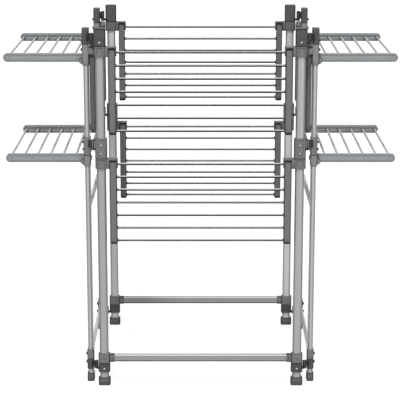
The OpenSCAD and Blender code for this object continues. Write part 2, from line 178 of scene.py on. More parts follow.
def middleLine(w, t):
    # what is left of a rectangle when it is drawn in by half its shorter side
    return max(w - t, 0), max(t - w, 0)


def closed(rows):
    # both ends run in to the middle line, so that the shell is shut
    start, end = [(row[0], *middleLine(row[1], row[2]), 0) for row in (rows[0], rows[-1])]
    return [start] + rows + [end]


# Keys and heights at which a pocket needs points, on either side of its ramp.
def pocketKeys(pockets, w, t, r):
    keys = []
    for p in pockets:
        k = {(0, -1): 0, (1, 0): 2, (0, 1): 4, (-1, 0): 6}[tuple(p["face"])]
        half = (w if k in (0, 4) else t) / 2 - r
        flip = -1 if k in (4, 6) else 1
        ramp = p["ramp"]
        for a in (p["left"], p["left"] + ramp, p["right"] - ramp, p["right"]):
            keys.append(k + (flip * a / half + 1) / 2)
    return keys


def pocketHeights(pockets):
    heights = []
    for p in pockets:
        ramp = p["ramp"]
        heights += [p["low"], p["low"] + ramp, p["high"] - ramp, p["high"]]
    return heights


boreSlack = 0.01  # keeps a bore's corner radius just under half its width


# A moulded sleeve on a tube: its outer wall with rounded edges, then its bore back down, which shift
# moves sideways. One with a ceiling is blind: its bore ends there, and its top is flat or a crown that
# rises by the sine of the way in from its rim.
def sleeve(centre, w, t, r, z0, z1, bore, edge, pockets=(), rings=4, crown=0, ceiling=None, shift=0):
    heights = pocketHeights(pockets) + list(np.linspace(z0, z1, rings + 2)[1:-1])
    wall = wallRows(z0, z1, w, t, r, edge, heights)
    keys = boxyKeys(marks=pocketKeys(pockets, w, t, r))
    boreR = min(bore) / 2 - boreSlack
    start = [(z0, *bore, boreR)]
    if ceiling is None:
        rows, inBore = start + wall + [(z1, *bore, boreR)], [0, -1]
    else:
        rows = [(ceiling, *middleLine(*bore), 0), (ceiling, *bore, boreR)] + start + wall
        inBore = [0, 1, 2]
        deepest = min(w, t) / 2 - edge
        reach = np.linspace(0, deepest, 7)[1:] if crown else np.array([deepest])
        lift = crown * np.sin(reach / deepest * math.pi / 2)
        for d, h in zip(edge + reach, z1 + lift):
            rows.append((h, max(w - 2 * d, 0), max(t - 2 * d, 0), max(r - d, 0)))
    points, faces = loft(rows, keys, centre, loop=ceiling is None, pockets=pockets)
    points.reshape(len(rows), -1, 3)[inBore, :, 0] += shift
    return points, faces


def block(low, high, corner, edge):
    # a solid block with rounded upright corners and rounded ends
    size = [b - a for a, b in zip(low, high)]
    centre = ((low[0] + high[0]) / 2, (low[1] + high[1]) / 2)
    rows = closed(wallRows(low[2], high[2], size[0], size[1], corner, edge))
    return loft(rows, boxyKeys(), centre)


# A slab with round ends from p to q: the outline of a strip carried up from z0 to z1.
def strap(p, q, radius, z0, z1, edge=0.8):
    dx, dy = q[0] - p[0], q[1] - p[1]
    length = math.hypot(dx, dy)
    rows = closed(wallRows(z0, z1, length + 2 * radius, 2 * radius, radius, edge))
    middle = ((p[0] + q[0]) / 2, (p[1] + q[1]) / 2)
    return loft(rows, boxyKeys(corner=6), middle, math.atan2(dy, dx))


# A turned part: rows of (height, radius) spun round an upright axis.
def turned(profile, centre=(0, 0), loop=False, steps=7):
    rows = [(z, 2 * r, 2 * r, r) for z, r in profile]
    return loft(rows, roundKeys(steps), centre, loop=loop)


def domeRows(z, radius, height, steps=6):
    # quarter of an ellipse from the rim to the top
    a = np.linspace(0, math.pi / 2, steps + 1)
    return [(z + height * math.sin(i), radius * math.cos(i)) for i in a]


def profileOf(r, wall, inner=0):
    # a turned profile from rows of height and inset of a round wall; both ends run in to inner
    return [(wall[0][0], inner)] + [(h, r - i) for h, i in wall] + [(wall[-1][0], inner)]


def laid(shell, order, signs, origin):
    # a shell's own axes in another order, each with its sign, moved to origin
    points, faces = shell
    return points[:, order] * np.array(signs) + np.array(origin, float), faces


def layAlong(shell, axis, origin):
    # turns a shell's own upright axis to the rack's x or y
    return laid(shell, {"x": (2, 0, 1), "y": (0, 2, 1)}[axis], (1, 1, 1), origin)


def mirrored(shell, sx, sy):
    points, faces = shell
    return points * np.array([sx, sy, 1]), faces


crispAngle = 38  # degrees past which an edge stays crisp


# A finished piece: its shells joined in one mesh, doubles merged and faces turned outwards. Its object
# stays at the origin, rides its body and takes the place of a node of the frame.
def makePiece(name, shells, material, body, node):
    counts = np.cumsum([0] + [len(p) for p, f in shells])
    points = np.concatenate([p for p, f in shells]) * mm
    faces = np.concatenate([f + n for (p, f), n in zip(shells, counts)])
    mesh = bpy.data.meshes.new(name)
    mesh.from_pydata(points.tolist(), [], faces.tolist())
    work = bmesh.new()
    work.from_mesh(mesh)
    bmesh.ops.remove_doubles(work, verts=work.verts, dist=1e-6)
    bmesh.ops.dissolve_degenerate(work, edges=work.edges, dist=1e-7)
    bmesh.ops.recalc_face_normals(work, faces=work.faces)
    work.to_mesh(mesh)
    work.free()
    mesh.shade_smooth()
    mesh.set_sharp_from_angle(angle=math.radians(crispAngle))
    mesh.materials.append(material)
    piece = bpy.data.objects.new(name, mesh)
    scene.collection.objects.link(piece)
    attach(piece, body)
    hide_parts(node)


# Node groups: the grain of moulded plastic, the lines of drawn metal, and the shade of edges.
def newGroup(name, inputs, outputs):
    group = bpy.data.node_groups.new(name, "ShaderNodeTree")
    for label, kind, value in inputs:
        socket = group.interface.new_socket(label, in_out="INPUT", socket_type=kind)
        if value is not None:
            socket.default_value = value
    for label, kind in outputs:
        group.interface.new_socket(label, in_out="OUTPUT", socket_type=kind)
    start = group.nodes.new("NodeGroupInput")
    end = group.nodes.new("NodeGroupOutput")
    return group, start, end


def addMath(tree, operation, a, b):
    node = tree.nodes.new("ShaderNodeMath")
    node.operation = operation
    for socket, value in zip(node.inputs, (a, b)):
        if isinstance(value, bpy.types.NodeSocket):
            tree.links.new(value, socket)
        else:
            socket.default_value = value
    return node.outputs[0]


def addNoise(tree, vector, scale, detail):
    node = tree.nodes.new("ShaderNodeTexNoise")
    node.inputs["Scale"].default_value = scale
    node.inputs["Detail"].default_value = detail
    tree.links.new(vector, node.inputs["Vector"])
    return node.outputs["Fac"]


def addRange(tree, value, span):
    # stretches the span's two ends to 0 and 1
    node = tree.nodes.new("ShaderNodeMapRange")
    tree.links.new(value, node.inputs["Value"])
    node.inputs["From Min"].default_value, node.inputs["From Max"].default_value = span
    return node.outputs["Result"]


def addSwing(tree, value, amount):
    # noise runs from 0 to 1: this centres it on 0 and scales it
    return addMath(tree, "MULTIPLY", addMath(tree, "SUBTRACT", value, 0.5), amount)


surfaceOutputs = [(label, "NodeSocketFloat") for label in ("Shade", "Roughness", "Height")]


# Moulded grain: fine pits, a faint cloudiness from the mould, and handling marks in the gloss.
mould = {"cloudScale": 38, "grainScale": 1900, "wipeScale": 120, "speck": 0.10, "wipe": 0.22}


def mouldGroup():
    inputs = [("Vector", "NodeSocketVector", None), ("Cloud", "NodeSocketFloat", 0.06)]
    inputs.append(("Gloss", "NodeSocketFloat", 0.5))
    group, start, end = newGroup("mouldedGrain", inputs, surfaceOutputs)
    vector = start.outputs["Vector"]
    cloud = addNoise(group, vector, mould["cloudScale"], 4)
    grain = addNoise(group, vector, mould["grainScale"], 2)
    wipe = addNoise(group, vector, mould["wipeScale"], 5)
    spread = addSwing(group, cloud, start.outputs["Cloud"])
    speck = addSwing(group, grain, mould["speck"])
    shade = addMath(group, "ADD", addMath(group, "ADD", 1.0, spread), speck)
    gloss = addSwing(group, wipe, mould["wipe"])
    group.links.new(shade, end.inputs["Shade"])
    group.links.new(addMath(group, "ADD", start.outputs["Gloss"], gloss), end.inputs["Roughness"])
    group.links.new(grain, end.inputs["Height"])
    return group


# Drawn lines: noise squeezed across the tube and stretched along it. Stretch scales each axis. Bands sets
# broad light and dark streaks along the tube, which stand in for reflections: painted reflection. The fine
# lines are the drawn metal's own marks.
drawing = {"broadScale": 170, "fineScale": 700, "markScale": 45, "line": 0.1, "lineGloss": 1.2, "mark": 0.12}


def drawnGroup():
    inputs = [
        ("Vector", "NodeSocketVector", None),
        ("Stretch", "NodeSocketVector", (1, 1, 1)),
        ("Bands", "NodeSocketFloat", 0.1),
        ("Gloss", "NodeSocketFloat", 0.3),
    ]
    group, start, end = newGroup("drawnLines", inputs, surfaceOutputs)
    scaled = group.nodes.new("ShaderNodeVectorMath")
    scaled.operation = "MULTIPLY"
    group.links.new(start.outputs["Vector"], scaled.inputs[0])
    group.links.new(start.outputs["Stretch"], scaled.inputs[1])
    broad = addNoise(group, scaled.outputs[0], drawing["broadScale"], 1)
    fine = addNoise(group, scaled.outputs[0], drawing["fineScale"], 2)
    marks = addNoise(group, start.outputs["Vector"], drawing["markScale"], 4)
    # broad streaks along the tube: painted reflection
    bands = addSwing(group, broad, start.outputs["Bands"])
    lines = addSwing(group, fine, drawing["line"])
    shade = addMath(group, "ADD", addMath(group, "ADD", 1.0, bands), lines)
    rough = addMath(group, "MULTIPLY", lines, drawing["lineGloss"])
    rough = addMath(group, "ADD", start.outputs["Gloss"], rough)
    dull = addSwing(group, marks, drawing["mark"])
    group.links.new(shade, end.inputs["Shade"])
    group.links.new(addMath(group, "ADD", rough, dull), end.inputs["Roughness"])
    group.links.new(fine, end.inputs["Height"])
    return group


# Painted shade and highlight: colour stays full on faces that look squarely along an axis of their own
# piece, and Depth paints shade where an edge turns. The mask is the largest part of the surface's own
# direction, stretched to 0 and 1. Facing is the direction in the room, so that the painted shade on
# undersides stays below when a flap swings. Under and Over paint shade on what looks down and up: their
# masks are Facing's upright part less Rise, stretched the same way. The highlight input paints a light
# stripe between the side and the top, where a rise meets a fall: a painted highlight.
spans = {
    "square": (0.88, 0.997),
    "under": (0.0, -0.2),
    "over": (0.72, 0.96),
    "paintedHighlightRise": (0.04, 0.14),
    "paintedHighlightFall": (0.66, 0.50),
}
edgeInputs = ("Depth", "Under", "Over", "PaintedHighlight", "Rise")


def paintedShadeGroup():
    inputs = [(label, "NodeSocketVector", None) for label in ("Normal", "Facing")]
    inputs += [(label, "NodeSocketFloat", 0.0) for label in edgeInputs]
    group, start, end = newGroup("paintedShadeAndHighlight", inputs, [("Shade", "NodeSocketFloat")])
    sizes = group.nodes.new("ShaderNodeVectorMath")
    sizes.operation = "ABSOLUTE"
    group.links.new(start.outputs["Normal"], sizes.inputs[0])
    parts = group.nodes.new("ShaderNodeSeparateXYZ")
    group.links.new(sizes.outputs[0], parts.inputs[0])
    largest = addMath(group, "MAXIMUM", parts.outputs[1], parts.outputs[2])
    largest = addMath(group, "MAXIMUM", parts.outputs[0], largest)
    square = addRange(group, largest, spans["square"])
    # painted shade on rounded edges: the less squarely a surface looks along an axis, the darker
    paintedEdgeShade = addMath(group, "MULTIPLY", addMath(group, "SUBTRACT", 1.0, square), start.outputs["Depth"])
    shade = addMath(group, "SUBTRACT", 1.0, paintedEdgeShade)
    signed = group.nodes.new("ShaderNodeSeparateXYZ")
    group.links.new(start.outputs["Facing"], signed.inputs[0])
    upright = signed.outputs[2]
    tilt = addMath(group, "SUBTRACT", upright, start.outputs["Rise"])
    # painted shade on what looks down (Under) and on what looks up (Over)
    for label in ("Under", "Over"):
        mask = addRange(group, tilt, spans[label.lower()])
        rest = addMath(group, "SUBTRACT", 1.0, addMath(group, "MULTIPLY", mask, start.outputs[label]))
        shade = addMath(group, "MULTIPLY", shade, rest)
    # a painted highlight: a light stripe where the surface turns from the side to the top
    stripe = [addRange(group, upright, spans[part]) for part in ("paintedHighlightRise", "paintedHighlightFall")]
    stripe = addMath(group, "MULTIPLY", *stripe)
    paintedhighlight = addMath(group, "ADD", 1.0, addMath(group, "MULTIPLY", stripe, start.outputs["PaintedHighlight"]))
    group.links.new(addMath(group, "MULTIPLY", shade, paintedhighlight), end.inputs["Shade"])
    return group


mouldedGrain = mouldGroup()
drawnLines = drawnGroup()
paintedShadeAndHighlight = paintedShadeGroup()


# A finish: its colour times the group's shade and the edge group's painted shade and highlight, the
# group's gloss, and a small bump from its height.
def newFinish(name, look, group, extra):
    material = bpy.data.materials.new(name)
    material.use_nodes = True
    tree = material.node_tree
    shader = tree.nodes["Principled BSDF"]
    place = tree.nodes.new("ShaderNodeTexCoord")
    pattern = tree.nodes.new("ShaderNodeGroup")
    pattern.node_tree = group
    tree.links.new(place.outputs["Object"], pattern.inputs["Vector"])
    for label, value in extra.items():
        pattern.inputs[label].default_value = value
    tint = tree.nodes.new("ShaderNodeVectorMath")
    tint.operation = "SCALE"
    tint.inputs[0].default_value = look["colour"]
    # the group that paints shade and highlight from the surface's direction
    paintedShadeNode = tree.nodes.new("ShaderNodeGroup")
    paintedShadeNode.node_tree = paintedShadeAndHighlight
    for label in edgeInputs:
        paintedShadeNode.inputs[label].default_value = look[label.lower()]
    tree.links.new(place.outputs["Normal"], paintedShadeNode.inputs["Normal"])
    facing = tree.nodes.new("ShaderNodeNewGeometry")
    tree.links.new(facing.outputs["Normal"], paintedShadeNode.inputs["Facing"])
    shade = addMath(tree, "MULTIPLY", pattern.outputs["Shade"], paintedShadeNode.outputs["Shade"])
    tree.links.new(shade, tint.inputs["Scale"])
    tree.links.new(tint.outputs[0], shader.inputs["Base Color"])
    tree.links.new(pattern.outputs["Roughness"], shader.inputs["Roughness"])
    bump = tree.nodes.new("ShaderNodeBump")
    bump.inputs["Strength"].default_value = look["bump"]
    bump.inputs["Distance"].default_value = look["grain"] * mm
    tree.links.new(pattern.outputs["Height"], bump.inputs["Height"])
    tree.links.new(bump.outputs["Normal"], shader.inputs["Normal"])
    shader.inputs["Metallic"].default_value = look["metal"]
    shader.inputs["Specular IOR Level"].default_value = look["shine"]
    return material


plastics = {
    "cap": {"colour": (0.086, 0.089, 0.091), "gloss": 0.50},
    "grey": {"colour": (0.186, 0.191, 0.194), "gloss": 0.52},
    "sideGrey": {"colour": (0.252, 0.256, 0.260), "gloss": 0.52},
    # a darker copy of grey, for the rear frame's brackets: painted shade
    "rearGrey": {"colour": (0.130, 0.133, 0.136), "gloss": 0.52},
    "joint": {"colour": (0.192, 0.196, 0.200), "gloss": 0.50},
    "dark": {"colour": (0.078, 0.080, 0.081), "gloss": 0.50},
    "hangingRail": {"colour": (0.174, 0.178, 0.183), "gloss": 0.48},
    # a darker copy of the hanging rail, for the rear and inner flaps: painted shade
    "shadedRail": {"colour": (0.139, 0.144, 0.147), "gloss": 0.50},
    "wingRail": {"colour": (0.325, 0.340, 0.350), "gloss": 0.46, "over": 0.1},
    "foot": {"colour": (0.126, 0.127, 0.129), "gloss": 0.62},
}
along = 0.004  # how little a drawn line changes along its tube
stretches = ((along, 1, 1), (1, along, 1), (1, 1, along), (1, 1, 1))
alongX, alongY, alongZ, evenly = [{"stretch": stretch} for stretch in stretches]
tube = {**alongZ, "gloss": 0.38, "bands": 0.5, "metal": 0.42}
bar = {"gloss": 0.24, "bands": 0.15, "shine": 0.06}
rod = {"gloss": 0.26, "bands": 0.2}
button = {**evenly, "bands": 0.1, "depth": 0.0}
# The front, side and rear posts, and the x and y copies of bars and rods, are lighter and darker copies of
# one metal each: painted light and shade. On the bars, under and over paint shade on the underside and top,
# and the highlight amount paints a light stripe under the top edge. On the rods, under paints a dark
# underside, which rise lifts.
metals = {
    "postTube": {**tube, "colour": (0.39, 0.39, 0.40)},
    "sideTube": {**tube, "colour": (0.49, 0.49, 0.50)},
    "rearTube": {**tube, "colour": (0.55, 0.55, 0.56)},
    "barX": {**bar, **alongX, "colour": (0.350, 0.355, 0.360), "under": 0.9, "over": 0.45, "paintedhighlight": 1.9},
    "barY": {**bar, **alongY, "colour": (0.600, 0.605, 0.610), "under": 0.6, "over": 0.1, "paintedhighlight": 0.2},
    "rodX": {**rod, **alongX, "colour": (0.58, 0.58, 0.58), "under": 0.99, "shine": 0.02, "rise": 0.3},
    "rodY": {**rod, **alongY, "colour": (0.44, 0.44, 0.44), "under": 0.9, "shine": 0.08},
    "rivet": {**button, "colour": (0.40, 0.40, 0.40), "gloss": 0.34, "metal": 0.55},
    # a near black copy of the rivet metal, for the side frames' rivets: painted shade
    "shadedRivet": {**button, "colour": (0.07, 0.07, 0.072), "gloss": 0.42, "metal": 0.30},
}
# what a finish has unless its own line says otherwise
common = {"metal": 0.0, "under": 0.0, "over": 0.0, "paintedhighlight": 0.0, "rise": 0.0}
# depth, under and over set how much shade is painted on edges, undersides and tops
moulded = {**common, "bump": 0.20, "grain": 0.05, "cloud": 0.12, "shine": 0.20, "depth": 0.82}
moulded.update(under=0.3, over=0.45)
drawn = {**common, "bump": 0.03, "grain": 0.02, "shine": 0.30, "depth": 0.35}
finish = {}
for name, look in plastics.items():
    look = {**moulded, **look}
    finish[name] = newFinish(name, look, mouldedGrain, {"Cloud": look["cloud"], "Gloss": look["gloss"]})
for name, look in metals.items():
    look = {**drawn, **look}
    extra = {"Stretch": look["stretch"], "Bands": look["bands"], "Gloss": look["gloss"]}
    finish[name] = newFinish(name, look, drawnLines, extra)
print("finishes made:", len(finish))


# The front corner's measures, read from the frame for all four: each z is a foot and a head.
topZ, midZ, lowZ = [uprightOf(f"front_{part}_connectors") for part in ("top", "mid", "bottom")]
footLow, footHigh = boxOf("front_feet")
barLow, barHigh = boxOf("front_crossbar")
rodsUp, rodsLow = boxOf("front_upper_flap_rods"), boxOf("front_lower_flap_rods")
rodR = (rodsUp[1][1] - rodsUp[0][1]) / 2
axleUp, axleLow = rodsUp[1][2] - rodR, rodsLow[1][2] - rodR
railOut = boxOf("front_upper_flap_rails")[1][0]
railW, railT = 19, 24
railIn = railOut - railW
bracketH = uprightOf("front_flap_brackets")[1] - (axleUp - railT / 2)
barH, barT = barHigh[2] - barLow[2], barHigh[1] - barLow[1]
barZ = (barLow[2] + barHigh[2]) / 2
frontFace = rack["postY"] - rack["sleeveT"] / 2
lugZ = {"top": topZ[0] + 4.5, "mid": midZ[0] + 20, "low": lowZ[0] + 2}  # undersides of the lugs
barrelH = {"top": 24, "mid": 24, "low": 18}


# Corner hinges: a lug on the end frame carries the pin, and a barrel on the side frame turns on it.
hingeLug = {"eye": 6, "edge": 0.8, "arm": 4.4, "height": 6.5, "reachX": 12, "reachY": 11.5, "thinner": 0.15}
hingePin = {"headR": 4, "head": 1.3, "headWall": 0.1, "chamfer": 0.6, "short": 4, "bend": 0.3}
barrel = {
    "r": 5.5, "bore": 3.06, "gap": 0.3, "roof": 3,
    "dome": 2.2, "shoulder": 3.2,
    "foot": [(0, 0.5), (0.5, 0), (2.2, 0), (2.5, 0.35), (3.1, 0.35), (3.4, 0)],  # height and inset
    "webR": 4.2, "webEdge": 1.2, "webFrom": (1.5, 1), "webTo": (3, 6), "webUp": 0.6, "webDown": 0.4,
}
hinge = (rack["hingeX"], rack["hingeY"])


def lugShells(z):
    # an eye round the pin, and an arm back to the sleeve, a little thinner than the eye
    top, edge, thinner = z + hingeLug["height"], hingeLug["edge"], hingeLug["thinner"]
    eye = profileOf(hingeLug["eye"], [(z, edge), (z + edge, 0), (top - edge, 0), (top, edge)])
    root = (hinge[0] - hingeLug["reachX"], hinge[1] - hingeLug["reachY"])
    return [turned(eye, hinge), strap(hinge, root, hingeLug["arm"], z + thinner, top - thinner)]


def hingePinShell(where):
    # a shank through lug and barrel over a head whose section is a quarter of an ellipse
    z0, r, chamfer = lugZ[where], rack["pinR"], hingePin["chamfer"]
    z1 = z0 + hingeLug["height"] + barrel["gap"] + barrelH[where] - hingePin["short"]
    head, headR, rim = hingePin["head"], hingePin["headR"], z0 + hingePin["headWall"]
    angles = np.linspace(hingePin["bend"], math.pi / 2, 5)
    profile = [(z0 - head, 0)] + [(z0 - head * math.cos(a), headR * math.sin(a)) for a in angles]
    profile += [(rim, headR), (rim, r), (z1 - chamfer, r), (z1, r - chamfer), (z1, 0)]
    return turned(profile, hinge)


def barrelShells(where):
    # a blind barrel with a groove round its foot and a domed end, and a web back to the sleeve
    r, dome, shoulder = barrel["r"], barrel["dome"], barrel["shoulder"]
    z0 = lugZ[where] + hingeLug["height"] + barrel["gap"]
    top = z0 + barrelH[where]
    profile = [(top - barrel["roof"], 0), (top - barrel["roof"], barrel["bore"]), (z0, barrel["bore"])]
    profile += [(z0 + h, r - i) for h, i in barrel["foot"]] + [(top - dome, r)]
    profile += [(h, r - shoulder + d) for h, d in domeRows(top - dome, shoulder, dome, 5)[1:]] + [(top, 0)]
    start = np.add(hinge, barrel["webFrom"])
    end = np.add((rack["sideIn"], hinge[1]), barrel["webTo"])
    low, high = z0 + barrel["webUp"], top - dome - barrel["webDown"]
    return [turned(profile, hinge), strap(start, end, barrel["webR"], low, high, barrel["webEdge"])]


# Connectors of the front and rear frames, drawn for the front right corner. In a recess, half is half
# its width, foot and head are its distances from the sleeve's ends, ramp is the run of its slope.
endSleeve = {"corner": 4, "edge": 1.3, "boreFit": 0.1}
postCentre = (rack["postX"], rack["postY"])
endBore = (rack["postW"] + endSleeve["boreFit"], rack["postT"] + endSleeve["boreFit"])
front, inward, outward = (0, -1), (-1, 0), (1, 0)  # where a face looks


def pocket(face, look, z0, z1, middle=0):
    # a recess on one face of a sleeve that runs from z0 to z1
    across = {"left": middle - look["half"], "right": middle + look["half"]}
    upright = {"low": z0 + look["foot"], "high": z1 - look["head"]}
    return {**look, **across, **upright, "face": face}


def endSleeveShell(z0, z1, pockets=(), **more):
    r, edge = endSleeve["corner"], endSleeve["edge"]
    return sleeve(postCentre, rack["sleeveW"], rack["sleeveT"], r, z0, z1, endBore, edge, pockets, **more)


topCap = {
    "crown": 1.6, "roof": 8, "ventPitch": 9.4, "ventTall": 6,
    "vent": {"half": 3.1, "foot": 0, "head": 1.8, "depth": 2.6, "ramp": 0.3},
    "panel": {"half": 11.4, "foot": 3.4, "head": 33.5, "depth": 0.5, "ramp": 0.5},
}


def topCapShells(z0, z1):
    # a blind cap: a crown, three vents under its rim, and a recess round its rivet
    rim, pitch = z1 - topCap["crown"], topCap["ventPitch"]
    pockets = [pocket(front, topCap["vent"], rim - topCap["ventTall"], rim, x) for x in (-pitch, 0, pitch)]
    pockets.append(pocket(front, topCap["panel"], z0, z1))
    return [endSleeveShell(z0, rim, pockets, crown=topCap["crown"], ceiling=z1 - topCap["roof"])]


midSleeve = {
    "panel": {"half": 9.6, "foot": 5, "head": 5, "depth": 0.6, "ramp": 0.6},
    "sidePanel": {"half": 6, "foot": 5, "head": 5, "depth": 0.5, "ramp": 0.6},
}
lowSleeve = {"panel": {"half": 10, "foot": 4, "head": 4, "depth": 0.5, "ramp": 0.5}}


def midSleeveShells(z0, z1):
    pockets = [pocket(front, midSleeve["panel"], z0, z1), pocket(inward, midSleeve["sidePanel"], z0, z1)]
    return [endSleeveShell(z0, z1, pockets)]


def lowSleeveShells(z0, z1):
    return [endSleeveShell(z0, z1, [pocket(front, lowSleeve["panel"], z0, z1)])]


tee = {
    "socket": 13.5, "into": 2, "sideInto": 1.5, "fit": 0.1,
    "wallZ": 1.5, "wallT": 3, "flat": 0.2, "edge": 1.0,
    "slotGap": 2.9,
    "slot": {"half": 2, "foot": 3.4, "head": 7.1, "depth": 2.3, "ramp": 0.25},
    "bossR": 3.52, "bossUnder": 2, "bossSunk": 0.25,
    "boss": [(-0.48, 0.8), (-0.72, 0.48), (-0.72, 0), (0.8, -0.24)],  # height and inset: a dish with a rim
}


def socketShell(start, end, slots=()):
    # the oval socket that grips a crossbar: its own x is upright in the rack, its own z runs along the bar
    w, t = barH + 2 * tee["wallZ"], barT + 2 * tee["wallT"]
    corner = t / 2 - tee["flat"]
    bore = (barH + tee["fit"], barT + tee["fit"], (barT + tee["fit"]) / 2)
    wall = wallRows(start, end, w, t, corner, tee["edge"], pocketHeights(slots))
    keys = boxyKeys(corner=7, marks=pocketKeys(slots, w, t, corner))
    return loft([(start, *bore)] + wall + [(end, *bore)], keys, loop=True, pockets=slots)


def teeShells(z0, z1):
    # the sleeve, its screw boss, and the socket with two slots
    place = (rack["postX"], frontFace + tee["bossSunk"], barZ - tee["bossUnder"])
    boss = layAlong(turned(profileOf(tee["bossR"], tee["boss"])), "y", place)
    start, end = sleeveIn - tee["socket"], sleeveIn + tee["into"]
    slots = [pocket(front, tee["slot"], start, end, a) for a in (-tee["slotGap"], tee["slotGap"])]
    socket = laid(socketShell(start, end, slots), (2, 1, 0), (1, 1, -1), (0, rack["postY"], barZ))
    return [endSleeveShell(z0, z1), boss, socket]


bracket = {
    "gap": 0.4, "faceIn": 1, "into": 2, "overlap": 1, "corner": 1.2, "edge": 0.9,
    "cheek": 3, "cheekUnder": 0.2, "cheekCorner": 0.6, "cheekEdge": 0.3,
    "eyeEdge": 0.6, "eyeIn": 0.8, "axleFit": 0.1,
    "panel": {"half": 11, "foot": 4, "head": 4, "depth": 0.4, "ramp": 0.6},
}


def flapBracketShells(axleZ):
    # sleeve, arm, roof over the rail's end, cheek inside the rail, and the collar round the axle
    gap, cheek, rounding = bracket["gap"], bracket["cheek"], (bracket["corner"], bracket["edge"])
    z0 = axleZ - railT / 2
    z1, roofZ = z0 + bracketH, axleZ + railT / 2 + gap
    half = rack["sleeveT"] / 2 - bracket["faceIn"]
    y0, y1 = rack["postY"] - half, rack["postY"] + half
    armIn, cheekIn = railOut + gap, railIn - gap - cheek
    shells = [endSleeveShell(z0, z1, [pocket(front, bracket["panel"], z0, z1)])]
    shells.append(block((armIn, y0, z0), (sleeveIn + bracket["into"], y1, z1), *rounding))
    shells.append(block((cheekIn, y0, roofZ), (armIn + bracket["overlap"], y1, z1), *rounding))
    high = (cheekIn + cheek, y1, z1 - bracket["cheekUnder"])
    shells.append(block((cheekIn, y0, axleZ), high, bracket["cheekCorner"], bracket["cheekEdge"]))
    edge, inset = bracket["eyeEdge"], bracket["eyeIn"]
    wall = [(0, inset), (edge, 0), (cheek - edge, 0), (cheek, inset)]
    eye = turned(profileOf(half, wall, rodR + bracket["axleFit"]), loop=True)
    return shells + [layAlong(eye, "x", (cheekIn, rack["postY"], axleZ))]


# A foot's wall in rows of height and inset: its sole, two grooves, and its rolled rim from the top.
foot = {
    "corner": 5,
    "sideCorner": 4,
    "sole": 4,
    "base": [(0, 2.2), (0.5, 1.2), (1.6, 0.35), (3.2, 0)],
    "grooves": (5.2, 8.8),
    "groove": [(0, 0), (0.4, 0.5), (1.2, 0.5), (1.6, 0)],
    "rim": [(-4, 0.25), (-2, 0.1), (-0.8, 0.5), (0, 1.4)],
}


def footShell(centre, w, t, bore, height, corner):
    # a cup round the tube's end
    grooves = [(start + h, i) for start in foot["grooves"] for h, i in foot["groove"]]
    wall = foot["base"] + grooves + [(height + h, i) for h, i in foot["rim"]]
    rows = [(0, *middleLine(w, t), 0)] + [(h, w - 2 * i, t - 2 * i, corner - i) for h, i in wall]
    boreR, sole = min(bore) / 2, foot["sole"]
    rows += [(height, *bore, boreR), (sole, *bore, boreR), (sole, *middleLine(*bore), 0)]
    return loft(rows, boxyKeys(), centre)


rivet = {
    "headR": 3.4, "head": 1.7, "sideHeadR": 4.3, "sideHead": 4.8, "dome": 1.2, "domeIn": 0.5,
    "shankR": 2, "shank": 4,
    "ringR": 5.2, "ring": 0.45, "ringGap": 0.2,
}


def spun(profile, axis, way, origin, loop=False):
    # a small turned part that looks along an axis, forwards or backwards as way is 1 or -1
    return layAlong(turned([(way * h, r) for h, r in profile], loop=loop, steps=5), axis, origin)


def rivetShell(origin, axis, way, headR=rivet["headR"], head=rivet["head"]):
    # shank and head: the head has a straight wall under a dome, which is a quarter of an ellipse
    wall, shankR = head - rivet["dome"], rivet["shankR"]
    profile = [(-rivet["shank"], 0), (-rivet["shank"], shankR), (0, shankR), (0, headR), (wall, headR)]
    return spun(profile + domeRows(wall, headR - rivet["domeIn"], head - wall, 5), axis, way, origin)


def rivetRing(origin, axis, way):
    # a raised ring moulded round a rivet's head, sloping in to the rivet
    r, inner, h = rivet["ringR"], rivet["headR"] + rivet["ringGap"], rivet["ring"]
    profile = [(-1, inner), (-1, r + 0.3), (0, r + 0.1), (h, r - 0.5), (h, r - 0.9), (-0.3, inner)]
    return spun(profile, axis, way, origin, loop=True)


# the front frame's rivets: height, the piece that each sits on, and how deep that piece's recess is
endRivets = [
    (topZ[0] + 11.5, "TopCaps", 0.55),
    (midZ[0] + 15, "MidSleeves", 0.55),
    (midZ[0] + 39, "MidSleeves", 0.55),
    (lowZ[0] + 10.6, "LowSleeves", 0.5),
]
ringSeat = 0.5  # how far behind the front face a rivet's ring stands


def endShells():
    footW, footT = 2 * (footHigh[0] - rack["postX"]), footHigh[1] - footLow[1]
    parts = {
        "TopCaps": topCapShells(*topZ) + lugShells(lugZ["top"]),
        "MidSleeves": midSleeveShells(*midZ) + lugShells(lugZ["mid"]),
        "LowSleeves": lowSleeveShells(*lowZ) + lugShells(lugZ["low"]),
        "Tees": teeShells(teeLow[2], teeHigh[2]),
        "FlapBrackets": flapBracketShells(axleUp) + flapBracketShells(axleLow),
        "FootCups": [footShell(postCentre, footW, footT, endBore, footHigh[2], foot["corner"])],
        "Rivets": [hingePinShell(where) for where in lugZ],
    }
    for z, home, depth in endRivets:
        parts["Rivets"].append(rivetShell((rack["postX"], frontFace + depth, z), "y", -1))
        parts[home].append(rivetRing((rack["postX"], frontFace + ringSeat, z), "y", -1))
    return parts


